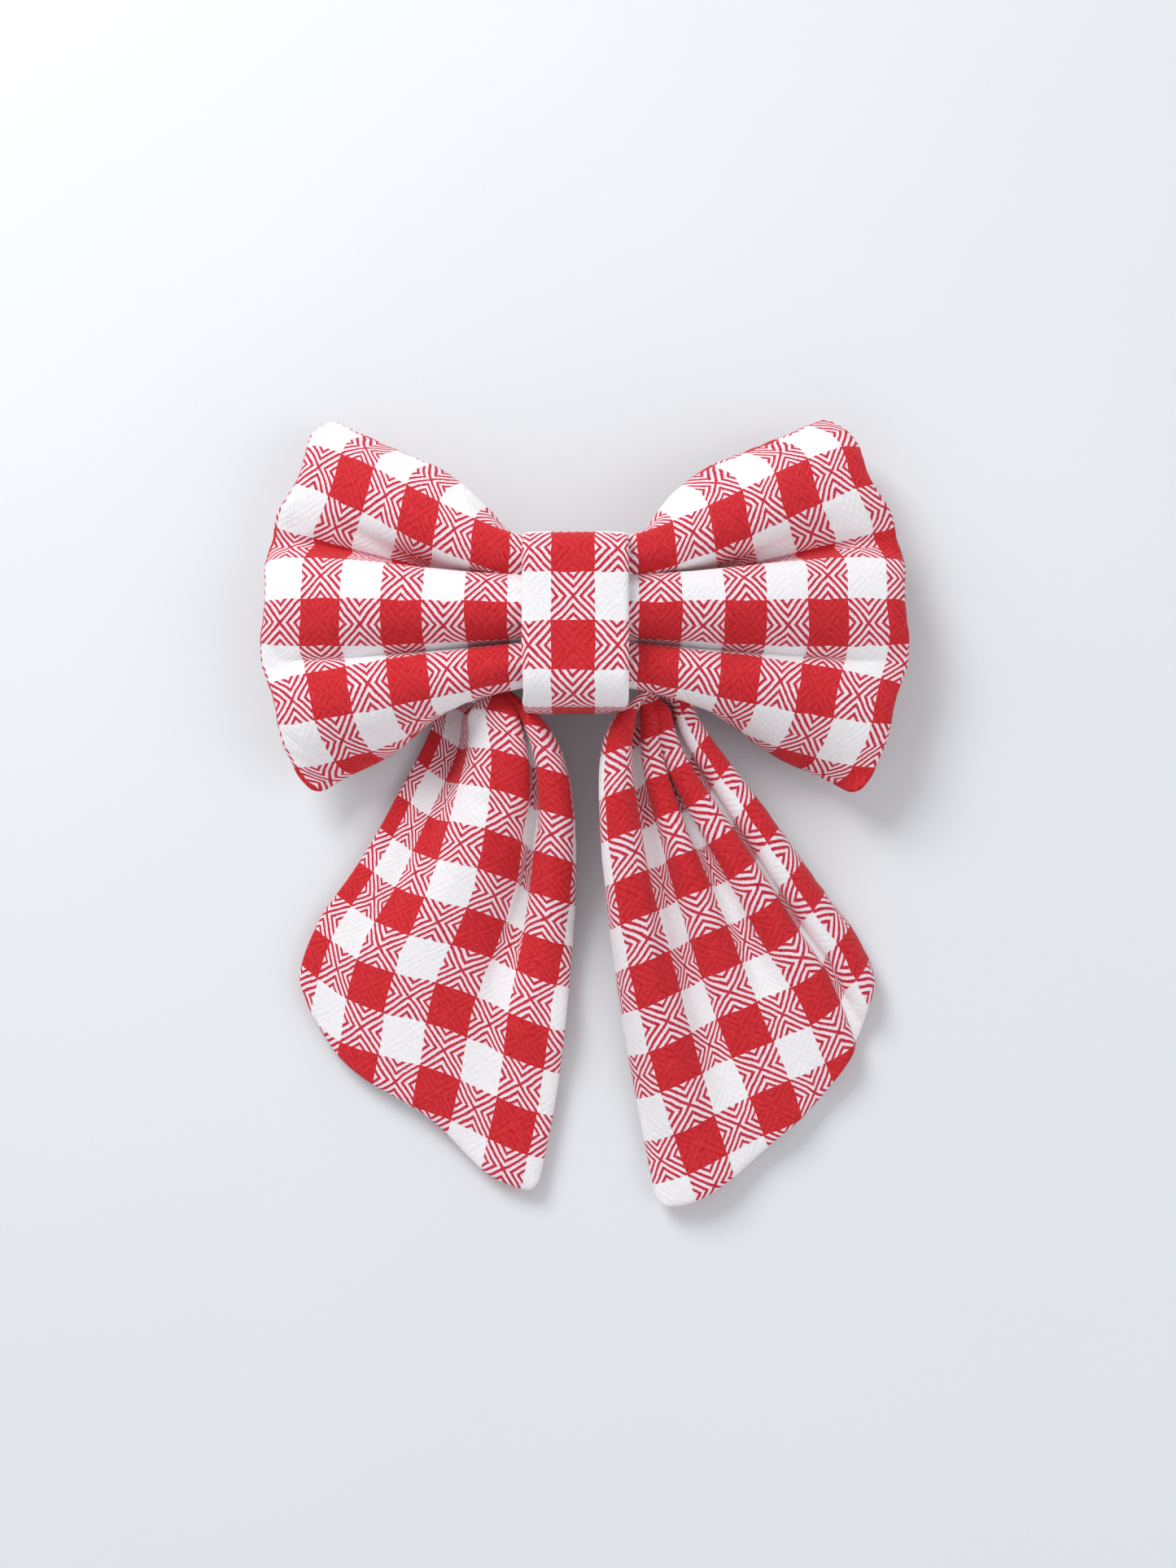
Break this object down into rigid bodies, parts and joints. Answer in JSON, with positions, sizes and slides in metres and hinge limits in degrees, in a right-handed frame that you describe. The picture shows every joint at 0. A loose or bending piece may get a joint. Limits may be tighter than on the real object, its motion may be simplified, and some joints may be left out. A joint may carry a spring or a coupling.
{
  "type": "hair bow",
  "caption": "Padded cloth hair bow pinched by a wrapped knot, with slanted tails behind it that flap, on a hinged spring barrette with a squeeze latch.",
  "frame": {"origin": "middle of the whole object's box in X and Y, at the surface the bow rests on", "axes": "+X to the right and +Y to the top of the bow as worn and seen from the front, +Z out of the bow's front"},
  "size_m": [0.155, 0.1872, 0.0365],
  "materials": {
    "gingham": "red and white check, brushed flannel, matt",
    "fleece": "soft wadding, matt",
    "thread": "white sewing thread",
    "barrette_metal": "nickel-plated spring steel, satin",
    "rivet_metal": "satin brass"
  },
  "bodies": {
    "bow": {"bow_front_panel": "gingham", "bow_back_panel": "gingham", "bow_fleece": "fleece", "bow_closing_stitches": "thread", "bow_cinch_thread": "thread", "tail_gather": "gingham", "tail_cinch_thread": "thread", "knot_band": "gingham", "knot_fleece": "fleece", "knot_seam_stitches": "thread", "barrette_base": "barrette_metal", "barrette_tension_bar": "barrette_metal", "barrette_hinge_pin": "rivet_metal", "latch_bracket": "barrette_metal", "latch_rivet": "rivet_metal"},
    "clasp": {"barrette_clasp_arm": "barrette_metal"},
    "tail_left": {"tail_left_front_panel": "gingham", "tail_left_back_panel": "gingham", "tail_left_fleece": "fleece"},
    "tail_right": {"tail_right_front_panel": "gingham", "tail_right_back_panel": "gingham", "tail_right_fleece": "fleece"},
    "ear_upper": {"latch_ear_upper": "barrette_metal"},
    "ear_lower": {"latch_ear_lower": "barrette_metal"}
  },
  "joints": [
    {"name": "clasp_hinge", "type": "hinge", "parent": "bow", "child": "clasp", "pos_m": [-0.03923, 0.03917, 0.0019], "axis": [0, 1, 0], "range_deg": [0, 80]},
    {"name": "tail_left_flap", "type": "hinge", "parent": "bow", "child": "tail_left", "pos_m": [-0.01453, 0.01772, 0.018], "axis": [-1, 0, 0], "range_deg": [0, 30]},
    {"name": "tail_right_flap", "type": "hinge", "parent": "bow", "child": "tail_right", "pos_m": [0.01347, 0.01772, 0.018], "axis": [-1, 0, 0], "range_deg": [0, 30]},
    {"name": "latch_ear_upper_squeeze", "type": "hinge", "parent": "bow", "child": "ear_upper", "pos_m": [0.03117, 0.04119, 0.0068], "axis": [-1, 0, 0], "range_deg": [0, 8], "stiffness_Nm_per_rad": 0.01},
    {"name": "latch_ear_lower_squeeze", "type": "hinge", "parent": "bow", "child": "ear_lower", "pos_m": [0.03117, 0.03715, 0.0068], "axis": [1, 0, 0], "range_deg": [0, 8], "stiffness_Nm_per_rad": 0.01}
  ]
}
